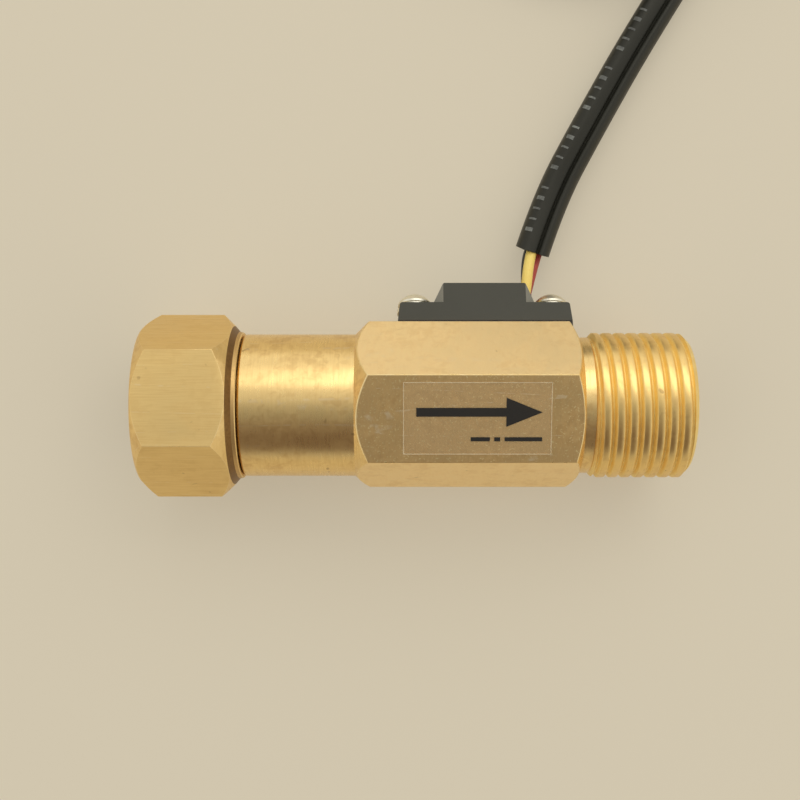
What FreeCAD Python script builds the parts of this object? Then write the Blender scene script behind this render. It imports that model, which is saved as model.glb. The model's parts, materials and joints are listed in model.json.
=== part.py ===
"""In-line turbine flow sensor, in millimetres.

The flow axis is X, from the union nut at the inlet to the male thread at the outlet. The origin is on
that axis, in the middle of the outlet thread. +Z is up from the surface that the sensor lies on, and
the sensor is modelled as it lies there: the flat that carries the pick-up housing is rolled away from
the top towards +Y.
"""

import FreeCAD, Part
import math
import os

Vector = FreeCAD.Vector
X_AXIS = Vector(1, 0, 0)
Z_AXIS = Vector(0, 0, 1)
ORIGIN = Vector(0, 0, 0)

# Outlet thread, size G 1/2, drawn as a plain cylinder over its crests
thread_r = 10.4
thread_len = 13.1
thread_chamfer = 1.0
neck_r = 9.75
neck_len = 1.4

# Hexagon with the pick-up, and the round tube behind it
hex_flats = 21.1
hex_len = 31.6
hex_face_r = 10.25
hex_inlet_slope = 45.0
hex_outlet_slope = 30.0
tube_r = 10.18
tube_len = 15.9
tube_edge = 0.3

# Spigot inside the union nut
spigot_r = 8.0
spigot_len = 4.8
inlet_bore_r = 6.2

# Union nut
nut_flats = 22.8
nut_len = 14.2
nut_face_r = 11.2
nut_collar_r = 11.4
nut_collar_end_r = 10.4
nut_collar_len = 1.3
nut_collar_step_r = 10.6
nut_collar_step_len = 0.68
nut_gap = 0.2
nut_thread_r = 9.32
nut_lip = 2.4
nut_thread_len = 7.3
nut_relief_r = 9.6
nut_mouth = 0.6
swivel_clearance = 0.08

# Wire ring that keeps the nut on the spigot
ring_wire_r = 0.8
ring_seat_depth = 0.7
ring_play = 0.1
ring_opening = 14.0

# Sealing ring on the spigot's face
gasket_r = 9.1
gasket_thick = 1.6

# Bore for the turbine cartridge, open to the outlet
bore_r = 7.5
bore_mouth = 0.4
step_from_hex = 4.3
cartridge_fit = 0.05

# Flow straightener: a cage with a hub and vanes at its inlet end
cage_wall = 0.55
straightener_len = 7.0
vane_thick = 0.8
vane_root = 0.3
vane_count = 5
hub_r = 3.2
hub_nose = 2.4
hub_nose_tip_r = 0.8
shaft_room_len = 0.4
shaft_room_r = 0.95

dome_middle_along = 0.62
dome_middle_out = 0.8

# Rotor, its magnet and its shaft
blade_count = 6
blade_twist = 62.0
blade_len = 6.9
blade_root_thick = 0.95
blade_tip_thick = 0.65
blade_root_depth = 0.5
blade_sections = 6
tip_clearance = 0.3
rotor_nose = 1.8
rotor_nose_tip_r = 1.35
rotor_play = 0.3
magnet_len = 3.5
magnet_bore_r = 1.6
shaft_r = 0.75
shaft_reach = 1.7
bearing_r = 1.6
bearing_len = 2.2
bearing_clearance = 0.03

# Support downstream of the rotor, and the clip behind it
support_len = 5.0
support_tail = 2.2
support_tail_tip_r = 0.95
support_first_vane = 45
support_face_gap = 0.4
support_vanes = 4
clip_thick = 1.0
clip_width = 1.7
clip_groove_depth = 0.6
clip_opening = 60.0
clip_clearance = 0.05
clip_eye_r = 1.05
clip_eye_turn = 7

# Pick-up housing on the hexagon's flat
roll = 109.9
nut_roll = 5.2
seal_thick = 0.9
flange_width = 8.8
flange_thick = 2.85
flange_draft = 0.3
hump_len = 12.0
hump_high = 3.07
hump_ramp = 1.65
hump_corner_cut = 1.65
pad_high = 0.35
pad_width = 5.4
edge_round = 0.45
housing_wall = 1.2
housing_to_hex_end = 13.0

# Inside the housing
board_thick = 1.0
board_gap = 0.1
board_high = 1.05
hall_size = (4.1, 3.0, 1.5)
hall_window_gap = 0.45
hall_end_gap = 0.45

# Fasteners: screws of 2.5 mm with domed heads, on spring and flat washers
screw_r = 1.25
screw_to_ramp = 2.45
screw_to_flange_end = 2.5
screw_clearance = 0.15
screw_depth = 1.85
screw_hole_spare = 0.25
head_r = 2.5
head_dome = 1.5
head_edge = 0.3
recess_width = 0.75
recess_len = 2.9
recess_depth = 0.9
recess_turns = (20, 62)
spring_washer_r = 2.3
spring_washer_thick = 0.7
spring_washer_gap = 0.5
flat_washer_r = 2.6
flat_washer_thick = 0.5
head_scallop = 0.2

# Clear film on the flat beside the housing
film_len = 20.2
film_width = 10.0
film_thick = 0.1
film_to_hex_end = 14.8
film_off_middle = 0.1

# Leads and sleeve
wire_r = 0.8
wire_pitch = 1.85
wire_hole_clearance = 0.06
wire_bundle_r = 1.45
wire_bundle_turns = (112, -2, 240)
wire_in_ramp = 1.2
wire_over_board = 0.12
wire_bend_out = 0.95
wire_bend_down = 1.5
sleeve_r = 2.65
coil_r = 29.0
coil_layers = 2
bend_share = 0.45

# Three-way plug on the end of the lead
plug_size = (12.0, 9.8, 5.8)
plug_slot_depth = 7.0
plug_slot_size = 1.9
latch_start = 2.4
latch_end = 7.4
latch_width = 3.4
latch_depth = 0.45
plug_pitch = 2.5
plug_edge = 0.4
contact_size = (6.0, 1.1, 0.7)

# Places along the flow axis, worked out from the outlet thread back to the nut
thread_start = -thread_len / 2
outlet_end = thread_len / 2 + thread_chamfer
hex_outlet = thread_start - neck_len
hex_inlet = hex_outlet - hex_len
shoulder = hex_inlet - tube_len
spigot_end = shoulder - spigot_len
nut_rear = shoulder - nut_gap
nut_front = nut_rear - nut_len
lip_front = nut_rear - nut_lip
thread_stop = nut_front + nut_mouth + nut_thread_len
ring_x = lip_front - ring_play - ring_wire_r
ring_r = spigot_r - ring_seat_depth + ring_wire_r
bore_step = hex_inlet + step_from_hex
straightener_face = bore_step + straightener_len
rotor_front = straightener_face + rotor_play
blade_start = rotor_front + rotor_nose
blade_end = blade_start + blade_len
rotor_rear = blade_end + magnet_len
support_face = rotor_rear + rotor_play
cage_end = support_face - support_face_gap
support_end = cage_end + support_len

# Radii that follow from the fits
cage_r = bore_r - cartridge_fit
cage_inner_r = cage_r - cage_wall
blade_tip_r = cage_inner_r - tip_clearance

# Heights above the flow axis, with the housing's flat turned to the top
flat_high = hex_flats / 2
flange_base = flat_high + seal_thick
flange_top = flange_base + flange_thick
hump_top = flange_top + hump_high
housing_x = hex_outlet - housing_to_hex_end
screw_reach = hump_len / 2 + hump_ramp + screw_to_ramp
screw_places = (housing_x - screw_reach, housing_x + screw_reach)
flange_len = 2 * (screw_reach + screw_to_flange_end)
board_base = flange_base + board_high
board_top = board_base + board_thick
cavity_top = hump_top - housing_wall
cavity_len = hump_len - housing_wall
cavity_width = flange_width - 2 * housing_wall
hall_x = housing_x + cavity_len / 2 - hall_end_gap - hall_size[0] / 2

# The surface that the sensor lies on, under the lowest corner of the two hexagons
def lowest_corner(flats, turned_by):
    corner_r = flats / 2 / math.cos(math.radians(30))
    return min(corner_r * math.cos(math.radians(turned_by + 30 + 60 * i)) for i in range(6))


floor = min(lowest_corner(hex_flats, roll), lowest_corner(nut_flats, nut_roll))


# Helpers

def turned(*profile):
    """A solid of revolution about the flow axis, from (x, radius) points."""
    points = [Vector(x, 0, r) for x, r in profile]
    face = Part.Face(Part.makePolygon(points + points[:1]))
    return face.revolve(ORIGIN, X_AXIS, 360)


def cylinder(x0, x1, radius):
    return Part.makeCylinder(radius, x1 - x0, Vector(x0, 0, 0), X_AXIS)


def ring(x0, x1, inner_r, outer_r):
    return cylinder(x0, x1, outer_r).cut(cylinder(x0, x1, inner_r))


def box(x0, x1, y0, y1, z0, z1):
    return Part.makeBox(x1 - x0, y1 - y0, z1 - z0, Vector(x0, y0, z0))


def hexagon(x0, x1, flats):
    """A hexagonal bar along the flow axis, with one flat facing +Z."""
    corner_r = flats / 2 / math.cos(math.radians(30))
    angles = [math.radians(30 + 60 * i) for i in range(6)]
    points = [Vector(x0, corner_r * math.sin(a), corner_r * math.cos(a)) for a in angles]
    return Part.Face(Part.makePolygon(points + points[:1])).extrude(Vector(x1 - x0, 0, 0))


def rolled(shape, degrees):
    """The shape turned about the flow axis, from +Z towards +Y."""
    return shape.rotated(ORIGIN, X_AXIS, -degrees)


def upright_post(x, z0, z1, radius):
    return Part.makeCylinder(radius, z1 - z0, Vector(x, 0, z0), Z_AXIS)


def tube_along(points, radius):
    """A round tube along straight runs joined by tangent arcs, each as large as its runs allow."""
    path, start, radii = [], points[0], []
    for before, corner, after in zip(points, points[1:], points[2:]):
        back, ahead = before - corner, after - corner
        half_turn = (math.pi - back.getAngle(ahead)) / 2
        reach = bend_share * min(back.Length, ahead.Length)
        radii.append(reach / math.tan(half_turn))
        back.normalize()
        ahead.normalize()
        arc_start, arc_end = corner + back * reach, corner + ahead * reach
        inward = (back + ahead).normalize()
        to_middle = radii[-1] * (1 / math.cos(half_turn) - 1)
        path.append(Part.LineSegment(start, arc_start).toShape())
        path.append(Part.Arc(arc_start, corner + inward * to_middle, arc_end).toShape())
        start = arc_end
    path.append(Part.LineSegment(start, points[-1]).toShape())
    wire = Part.Wire(path)
    section = Part.Wire(Part.makeCircle(radius, points[0], points[1] - points[0]))
    tube = wire.makePipeShell([section], True, False)
    share = tube.Volume / (math.pi * radius**2 * wire.Length)
    print("  tube of", round(wire.Length, 1), "mm, share of the full volume", round(share, 4))
    print("  radii of its bends", [round(r, 1) for r in radii])
    return tube


parts = {}


# Sensor body

def chamfered_hexagon():
    corner_r = hex_flats / 2 / math.cos(math.radians(30)) + 0.1
    inlet_cut = (corner_r - hex_face_r) * math.tan(math.radians(hex_inlet_slope))
    outlet_cut = (corner_r - hex_face_r) * math.tan(math.radians(hex_outlet_slope))
    envelope = turned(
        (hex_inlet, 0), (hex_inlet, hex_face_r), (hex_inlet + inlet_cut, corner_r),
        (hex_outlet - outlet_cut, corner_r), (hex_outlet, hex_face_r), (hex_outlet, 0),
    )
    return hexagon(hex_inlet, hex_outlet, hex_flats).common(envelope)


def outer_body():
    turned_ends = turned(
        (spigot_end, 0), (spigot_end, spigot_r), (shoulder, spigot_r),
        (shoulder, tube_r - tube_edge), (shoulder + tube_edge, tube_r), (hex_inlet, tube_r),
        (hex_inlet, neck_r), (hex_outlet, neck_r), (thread_start, neck_r), (thread_start, thread_r),
        (outlet_end - thread_chamfer, thread_r), (outlet_end, thread_r - thread_chamfer), (outlet_end, 0),
    )
    return turned_ends.fuse(chamfered_hexagon())


def flow_bore():
    return turned(
        (spigot_end, 0), (spigot_end, inlet_bore_r), (bore_step, inlet_bore_r), (bore_step, bore_r),
        (outlet_end - bore_mouth, bore_r), (outlet_end, bore_r + bore_mouth), (outlet_end, 0),
    )


def sensor_body():
    body = outer_body().cut(flow_bore())
    body = body.cut(Part.makeTorus(ring_r, ring_wire_r, Vector(ring_x, 0, 0), X_AXIS))
    groove_r = bore_r + clip_groove_depth
    body = body.cut(cylinder(support_end, support_end + clip_thick, groove_r))
    for x in screw_places:
        depth = screw_depth + screw_hole_spare
        body = body.cut(upright_post(x, flat_high - depth, flat_high + 1, screw_r))
    return body


# Union nut and what keeps it on

def union_nut():
    corner_r = nut_flats / 2 / math.cos(math.radians(30)) + 0.1
    collar_front = nut_rear - nut_collar_len
    envelope = turned(
        (nut_front, 0), (nut_front, nut_face_r), (nut_front + corner_r - nut_face_r, corner_r),
        (collar_front - (corner_r - nut_collar_r), corner_r), (collar_front, nut_collar_r),
        (collar_front + nut_collar_step_len, nut_collar_step_r), (nut_rear, nut_collar_end_r), (nut_rear, 0),
    )
    hollow = turned(
        (nut_front, 0), (nut_front, nut_thread_r + nut_mouth), (nut_front + nut_mouth, nut_thread_r),
        (thread_stop, nut_thread_r), (thread_stop, nut_relief_r),
        (lip_front, nut_relief_r), (lip_front, spigot_r + swivel_clearance),
        (nut_rear, spigot_r + swivel_clearance), (nut_rear, 0),
    )
    return hexagon(nut_front, nut_rear, nut_flats).common(envelope).cut(hollow)


def retaining_ring():
    """The wire ring is open over a short arc, so that it can spring into its groove."""
    circle = Part.Face(Part.Wire(Part.makeCircle(ring_wire_r, Vector(ring_x, 0, ring_r), Vector(0, 1, 0))))
    return circle.revolve(ORIGIN, X_AXIS, 360 - ring_opening)


def inlet_gasket():
    return ring(spigot_end - gasket_thick, spigot_end, inlet_bore_r, gasket_r)


# Turbine cartridge

def vane(x0, x1, degrees):
    """A flat vane from inside the hub to the middle of the cage's wall."""
    plate = box(x0, x1, -vane_thick / 2, vane_thick / 2, hub_r / 2, cage_inner_r + cage_wall / 2)
    return rolled(plate.cut(cylinder(x0, x1, hub_r - vane_root)), degrees)


def domed(x0, x1, tip_r, full_r, towards):
    """A rounded nose: full radius at x0, falling to tip_r at x1. towards is -1 or 1 along the axis."""
    middle_x = x0 + towards * abs(x1 - x0) * dome_middle_along
    middle = Vector(middle_x, 0, tip_r + (full_r - tip_r) * dome_middle_out)
    edge_start, edge_end = Vector(x0, 0, full_r), Vector(x1, 0, tip_r)
    outline = Part.Wire([
        Part.LineSegment(Vector(x0, 0, 0), edge_start).toShape(),
        Part.Arc(edge_start, middle, edge_end).toShape(),
        Part.LineSegment(edge_end, Vector(x1, 0, 0)).toShape(),
        Part.LineSegment(Vector(x1, 0, 0), Vector(x0, 0, 0)).toShape(),
    ])
    return Part.Face(outline).revolve(ORIGIN, X_AXIS, 360)


def flow_straightener():
    hub_start = bore_step + hub_nose
    piece = ring(bore_step, cage_end, cage_inner_r, cage_r)
    piece = piece.fuse(cylinder(hub_start, straightener_face, hub_r))
    piece = piece.fuse(domed(hub_start, bore_step, hub_nose_tip_r, hub_r, -1))
    for i in range(vane_count):
        piece = piece.fuse(vane(hub_start, straightener_face, 360 * i / vane_count))
    seat = cylinder(straightener_face - bearing_len, straightener_face, bearing_r)
    shaft_room = cylinder(straightener_face - bearing_len - shaft_room_len, straightener_face, shaft_room_r)
    return piece.cut(seat).cut(shaft_room).removeSplitter()


def blade_section(x, degrees):
    """One cross-section of a blade, across the axis at x, turned by that many degrees."""
    root_r, root, tip = hub_r - blade_root_depth, blade_root_thick / 2, blade_tip_thick / 2
    corners = [(-root, root_r), (root, root_r), (tip, blade_tip_r), (-tip, blade_tip_r)]
    points = [Vector(x, y, z) for y, z in corners]
    return rolled(Part.makePolygon(points + points[:1]), degrees)


def rotor_blade(first_degrees):
    sections = []
    for i in range(blade_sections + 1):
        share = i / blade_sections
        sections.append(blade_section(blade_start + blade_len * share, first_degrees + blade_twist * share))
    blade = Part.makeLoft(sections, True, False)
    return blade.common(cylinder(blade_start, blade_end, blade_tip_r))


def turbine_rotor():
    rotor = cylinder(blade_start, blade_end, hub_r)
    rotor = rotor.fuse(domed(blade_start, rotor_front, rotor_nose_tip_r, hub_r, -1))
    rotor = rotor.fuse(cylinder(blade_end, rotor_rear, magnet_bore_r))
    for i in range(blade_count):
        rotor = rotor.fuse(rotor_blade(360 * i / blade_count))
    return rotor.cut(cylinder(rotor_front, rotor_rear, shaft_r))


def rotor_shaft():
    """The ends are rounded, and stop short of the ends of their seats."""
    start, end, tip = straightener_face - shaft_reach, support_face + shaft_reach, shaft_r * 0.5
    return turned(
        (start, 0), (start, shaft_r - tip), (start + tip, shaft_r),
        (end - tip, shaft_r), (end, shaft_r - tip), (end, 0),
    )


def bearing(x0):
    return ring(x0, x0 + bearing_len, shaft_r + bearing_clearance, bearing_r)


def rotor_support():
    hub_end = support_end - support_tail
    piece = ring(cage_end, support_end, cage_inner_r, cage_r)
    piece = piece.fuse(cylinder(support_face, hub_end, hub_r))
    piece = piece.fuse(domed(hub_end, support_end, support_tail_tip_r, hub_r, 1))
    for i in range(support_vanes):
        piece = piece.fuse(vane(support_face, hub_end, support_first_vane + 360 * i / support_vanes))
    seat = cylinder(support_face, support_face + bearing_len, bearing_r)
    return piece.cut(seat).removeSplitter()


def cartridge_clip():
    """An inner retaining ring: open at one side, with an eye at each end of the opening."""
    outer_r = bore_r + clip_groove_depth - clip_clearance
    x0, x1 = support_end + clip_clearance / 2, support_end + clip_thick - clip_clearance / 2
    clip = ring(x0, x1, outer_r - clip_width, outer_r)
    half = math.radians(clip_opening / 2)
    far = 2 * outer_r
    points = [
        Vector(x0, 0, 0), Vector(x0, far * math.sin(half), -far * math.cos(half)),
        Vector(x0, -far * math.sin(half), -far * math.cos(half)),
    ]
    opening = Part.Face(Part.makePolygon(points + points[:1])).extrude(Vector(x1 - x0, 0, 0))
    clip = clip.cut(opening)
    eye_middle = outer_r - clip_eye_r - clip_groove_depth
    for side in (-1, 1):
        a = half + math.radians(clip_eye_turn)
        y, z = side * eye_middle * math.sin(a), -eye_middle * math.cos(a)
        clip = clip.fuse(Part.makeCylinder(clip_eye_r, x1 - x0, Vector(x0, y, z), X_AXIS))
        clip = clip.cut(Part.makeCylinder(clip_eye_r / 2, x1 - x0, Vector(x0, y, z), X_AXIS))
    return clip


# Pick-up housing, modelled with its flat at the top

def rounded_outline(corners, radius):
    """A closed outline in the XZ plane through (x, z) corners, each rounded by its own radius."""
    edges, count = [], len(corners)
    starts, ends = [], []
    for i, (x, z) in enumerate(corners):
        corner = Vector(x, 0, z)
        back = Vector(corners[i - 1][0], 0, corners[i - 1][1]) - corner
        ahead = Vector(corners[(i + 1) % count][0], 0, corners[(i + 1) % count][1]) - corner
        if radius[i] == 0:
            starts.append(corner)
            ends.append(corner)
            continue
        half = back.getAngle(ahead) / 2
        reach = radius[i] / math.tan(half)
        back.normalize()
        ahead.normalize()
        inward = (back + ahead).normalize()
        first, last = corner + back * reach, corner + ahead * reach
        middle = corner + inward * (radius[i] / math.sin(half) - radius[i])
        edges.append((i, Part.Arc(first, middle, last).toShape()))
        starts.append(first)
        ends.append(last)
    arcs = dict(edges)
    outline = []
    for i in range(count):
        if i in arcs:
            outline.append(arcs[i])
        outline.append(Part.LineSegment(ends[i], starts[(i + 1) % count]).toShape())
    return Part.Wire(outline)


def housing_block():
    half_flange, half_hump = flange_len / 2, hump_len / 2
    corners = [
        (housing_x - half_flange, flange_base), (housing_x - half_flange + flange_draft, flange_top),
        (housing_x - half_hump - hump_ramp, flange_top), (housing_x - half_hump, hump_top),
        (housing_x + half_hump, hump_top), (housing_x + half_hump + hump_ramp, flange_top),
        (housing_x + half_flange - flange_draft, flange_top), (housing_x + half_flange, flange_base),
    ]
    rounds = [0, edge_round, 0, edge_round, edge_round, 0, edge_round, 0]
    side = Part.Face(rounded_outline(corners, rounds))
    side.translate(Vector(0, -flange_width / 2, 0))
    return side.extrude(Vector(0, flange_width, 0))


def hump_corner(along, across):
    """What a 45 degree cut takes off one upright corner of the hump."""
    x, y = housing_x + along * hump_len / 2, across * flange_width / 2
    size = 2 * hump_corner_cut
    points = [
        Vector(x, y, flange_top), Vector(x + along * size, y, flange_top),
        Vector(x + along * size, y - across * size, flange_top),
    ]
    points = [p + Vector(0, across * 0.001, 0) if p.y == y else p for p in points]
    return Part.Face(Part.makePolygon(points + points[:1])).extrude(Vector(0, 0, hump_high + 1))


def sensor_housing():
    housing = housing_block()
    pad = box(
        screw_places[0], screw_places[1], -pad_width / 2, pad_width / 2, flange_base, flange_top + pad_high,
    )
    housing = housing.fuse(pad)
    for along in (-1, 1):
        for across in (-1, 1):
            housing = housing.cut(hump_corner(along, across))
    for x in screw_places:
        housing = housing.cut(upright_post(x, flange_top, hump_top, flat_washer_r + head_scallop))
        housing = housing.cut(upright_post(x, flange_base, flange_top, screw_r + screw_clearance))
    cavity = box(
        housing_x - cavity_len / 2, housing_x + cavity_len / 2, -cavity_width / 2, cavity_width / 2,
        flange_base, cavity_top,
    )
    return housing.cut(cavity)


def housing_gasket():
    seal = box(
        housing_x - flange_len / 2, housing_x + flange_len / 2, -flange_width / 2, flange_width / 2,
        flat_high, flange_base,
    )
    for x in screw_places:
        seal = seal.cut(upright_post(x, flat_high, flange_base, screw_r + screw_clearance))
    half_len, half_width = hall_size[0] / 2 + hall_window_gap, hall_size[1] / 2 + hall_window_gap
    window = box(hall_x - half_len, hall_x + half_len, -half_width, half_width, flat_high, flange_base)
    return seal.cut(window)


def circuit_board():
    half_len, half_width = cavity_len / 2 - board_gap, cavity_width / 2 - board_gap
    return box(housing_x - half_len, housing_x + half_len, -half_width, half_width, board_base, board_top)


def hall_sensor():
    long, wide, thick = hall_size
    return box(hall_x - long / 2, hall_x + long / 2, -wide / 2, wide / 2, board_base - thick, board_base)


def potting_block():
    return box(
        housing_x - cavity_len / 2, housing_x + cavity_len / 2, -cavity_width / 2, cavity_width / 2,
        board_top, cavity_top,
    )


def flat_washer(x):
    outer = upright_post(x, flange_top, flange_top + flat_washer_thick, flat_washer_r)
    return outer.cut(upright_post(x, flange_top, hump_top, screw_r + screw_clearance))


def spring_washer(x):
    base = flange_top + flat_washer_thick
    top = base + spring_washer_thick
    washer = upright_post(x, base, top, spring_washer_r)
    washer = washer.cut(upright_post(x, base, top, screw_r + screw_clearance))
    slit = box(x - spring_washer_gap / 2, x + spring_washer_gap / 2, 0, 2 * spring_washer_r, base, top)
    return washer.cut(slit)


def housing_screw(x, recess_turn):
    seat = flange_top + flat_washer_thick + spring_washer_thick
    edge = seat + head_edge
    dome_r = (head_r**2 + head_dome**2) / (2 * head_dome)
    dome = Part.makeSphere(dome_r, Vector(x, 0, edge + head_dome - dome_r))
    head = dome.common(upright_post(x, edge, edge + head_dome + 1, head_r + 1))
    screw = upright_post(x, seat, edge, head_r).fuse(head)
    screw = screw.fuse(upright_post(x, flat_high - screw_depth, seat, screw_r))
    top = edge + head_dome
    half_len, half_width = recess_len / 2, recess_width / 2
    for turn in (recess_turn, recess_turn + 90):
        slot = box(-half_len, half_len, -half_width, half_width, top - recess_depth, top)
        slot.rotate(ORIGIN, Z_AXIS, turn)
        slot.translate(Vector(x, 0, 0))
        screw = screw.cut(slot)
    return screw


def label_film():
    middle = hex_outlet - film_to_hex_end
    return box(
        middle - film_len / 2, middle + film_len / 2, -film_width / 2 + film_off_middle,
        film_width / 2 + film_off_middle, flat_high, flat_high + film_thick,
    )


# Leads, sleeve, coil and plug, in the place where they lie

def on_flat(x, across, high):
    """A point of the housing, given with its flat at the top, as it lies."""
    a = math.radians(roll)
    return Vector(x, across * math.cos(a) + high * math.sin(a), high * math.cos(a) - across * math.sin(a))


sleeve_centre = floor + sleeve_r
sleeve_start = Vector(-13.2, 23.2, -7.5)
sleeve_route = [
    sleeve_start,
    Vector(-10.4, 31.4, sleeve_centre + 0.05),
    Vector(-5.1, 41.4, sleeve_centre),
    Vector(3.7, 57.0, sleeve_centre),
]
coil_entry_angle = 31.5
coil_entry_run = 30.0
entry = math.radians(coil_entry_angle)
coil_entry = sleeve_route[-1] + Vector(math.sin(entry), math.cos(entry), 0) * coil_entry_run
coil_middle = coil_entry + Vector(-math.cos(entry), math.sin(entry), 0) * coil_r
tail_route = [
    coil_middle + Vector(0, coil_r, 2 * sleeve_r),
    coil_middle + Vector(-11.5, coil_r + 0.4, 2 * sleeve_r - 0.1),
    coil_middle + Vector(-21.0, coil_r + 1.3, 2.4),
    coil_middle + Vector(-31.0, coil_r + 1.8, 0.25),
]


def wires():
    """Three leads: side by side through the ramp of the housing, then bundled into the sleeve."""
    ramp_x = housing_x + hump_len / 2
    along = (sleeve_route[1] - sleeve_route[0]).normalize()
    sideways = along.cross(Z_AXIS).normalize()
    upwards = sideways.cross(along).normalize()
    made = []
    for number, degrees in enumerate(wire_bundle_turns):
        across = (number - 1) * wire_pitch
        inside = on_flat(ramp_x - wire_in_ramp, across, board_top + wire_r + wire_over_board)
        bend = on_flat(ramp_x + wire_bend_out, across, hump_top - wire_bend_down)
        a = math.radians(degrees)
        beside = sideways * math.cos(a) + upwards * math.sin(a)
        made.append([inside, bend, sleeve_start + beside * wire_bundle_r])
    return made


def cable_coil():
    """The outer shape of the coil's turns: a ring as high as its layers."""
    height = 2 * sleeve_r * coil_layers
    low, high = floor + sleeve_r, floor + height - sleeve_r
    inner, outer = coil_r - sleeve_r, coil_r + sleeve_r
    corners = [Vector(inner, 0, low), Vector(inner, 0, high), Vector(outer, 0, high), Vector(outer, 0, low)]
    top, bottom = Vector(coil_r, 0, high + sleeve_r), Vector(coil_r, 0, low - sleeve_r)
    outline = Part.Wire([
        Part.LineSegment(corners[0], corners[1]).toShape(),
        Part.Arc(corners[1], top, corners[2]).toShape(),
        Part.LineSegment(corners[2], corners[3]).toShape(),
        Part.Arc(corners[3], bottom, corners[0]).toShape(),
    ])
    coil = Part.Face(outline).revolve(ORIGIN, Z_AXIS, 360)
    return coil.translated(Vector(coil_middle.x, coil_middle.y, 0))


def plug_frame(shape):
    """Places a piece of the plug, drawn along -X from the origin, at the end of the lead."""
    end, before = tail_route[-1], tail_route[-2]
    heading = math.degrees(math.atan2(before.y - end.y, before.x - end.x))
    shape.rotate(ORIGIN, Z_AXIS, heading)
    return shape.translated(Vector(end.x, end.y, floor))


def plug_housing():
    long, wide, high = plug_size
    housing = box(-long, 0, -wide / 2, wide / 2, 0, high)
    edges = [e for e in housing.Edges if abs(e.Vertexes[0].X - e.Vertexes[1].X) > long / 2]
    housing = housing.makeFillet(plug_edge, edges)
    depth, half_slot = plug_slot_depth, plug_slot_size / 2
    for i in (-1, 0, 1):
        y, z = i * plug_pitch, high / 2
        housing = housing.cut(
            box(-long, -long + depth, y - half_slot, y + half_slot, z - half_slot, z + half_slot)
        )
    latch = box(-latch_end, -latch_start, -latch_width / 2, latch_width / 2, high - latch_depth, high)
    return plug_frame(housing.cut(latch))


def plug_contacts():
    seat, z = plug_slot_depth - plug_size[0], plug_size[2] / 2
    length, width, thick = contact_size
    contacts = []
    for i in (-1, 0, 1):
        y = i * plug_pitch
        blade = box(seat - length, seat, y - width / 2, y + width / 2, z - thick / 2, z + thick / 2)
        contacts.append(plug_frame(blade))
    return Part.makeCompound(contacts)


# Assembly

def lies(shape):
    return rolled(shape, roll)


parts["sensor_body"] = lies(sensor_body())
parts["union_nut"] = rolled(union_nut(), nut_roll)
parts["nut_retaining_ring"] = lies(retaining_ring())
parts["inlet_gasket"] = inlet_gasket()
parts["flow_straightener"] = flow_straightener()
parts["inlet_bearing"] = bearing(straightener_face - bearing_len)
parts["turbine_rotor"] = turbine_rotor()
parts["rotor_magnet"] = ring(blade_end, rotor_rear, magnet_bore_r, hub_r)
parts["rotor_shaft"] = rotor_shaft()
parts["outlet_bearing"] = bearing(support_face)
parts["rotor_support"] = rotor_support()
parts["cartridge_clip"] = cartridge_clip()
parts["housing_gasket"] = lies(housing_gasket())
parts["circuit_board"] = lies(circuit_board())
parts["hall_sensor"] = lies(hall_sensor())
parts["flat_washers"] = lies(Part.makeCompound([flat_washer(x) for x in screw_places]))
parts["spring_washers"] = lies(Part.makeCompound([spring_washer(x) for x in screw_places]))
screws = [housing_screw(x, turn) for x, turn in zip(screw_places, recess_turns)]
parts["housing_screws"] = lies(Part.makeCompound(screws))
parts["label_film"] = rolled(label_film(), roll - 120)

sleeve = tube_along(sleeve_route + [coil_entry], sleeve_r)
housing, potting = lies(sensor_housing()), lies(potting_block())
for name, route in zip(("wire_yellow", "wire_red", "wire_black"), wires()):
    parts[name] = tube_along(route, wire_r).cut(sleeve)
    housing = housing.cut(tube_along(route, wire_r + wire_hole_clearance))
    potting = potting.cut(parts[name])
parts["sensor_housing"] = housing
parts["potting"] = potting

parts["cable_sleeve"] = sleeve
parts["cable_coil"] = cable_coil()
parts["plug_housing"] = plug_housing()
parts["cable_tail"] = tube_along(tail_route, sleeve_r).cut(parts["plug_housing"])
parts["plug_contacts"] = plug_contacts()

os.makedirs("parts", exist_ok=True)
for name, shape in parts.items():
    box_size = shape.BoundBox
    print(
        name, "solids", len(shape.Solids), "valid", shape.isValid(), "volume", round(shape.Volume, 1),
        "x", round(box_size.XMin, 2), round(box_size.XMax, 2), "y", round(box_size.YMin, 2),
        round(box_size.YMax, 2), "z", round(box_size.ZMin, 2), round(box_size.ZMax, 2),
    )
    shape.exportStep("parts/" + name + ".step")
print("floor", round(floor, 3), "coil middle", coil_middle, "sleeve start", sleeve_start)
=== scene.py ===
# %% [markdown]
# # A turbine flow sensor
# The sensor is a brass pipe fitting with a small turbine inside. A union nut turns on its inlet end, a
# G 1/2 thread is cut on its outlet end, and a black moulded housing on one flat of the hexagon holds the
# pick-up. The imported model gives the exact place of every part, so this lesson starts by loading it, and
# then makes finer pieces and finishes for what shows.

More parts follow.
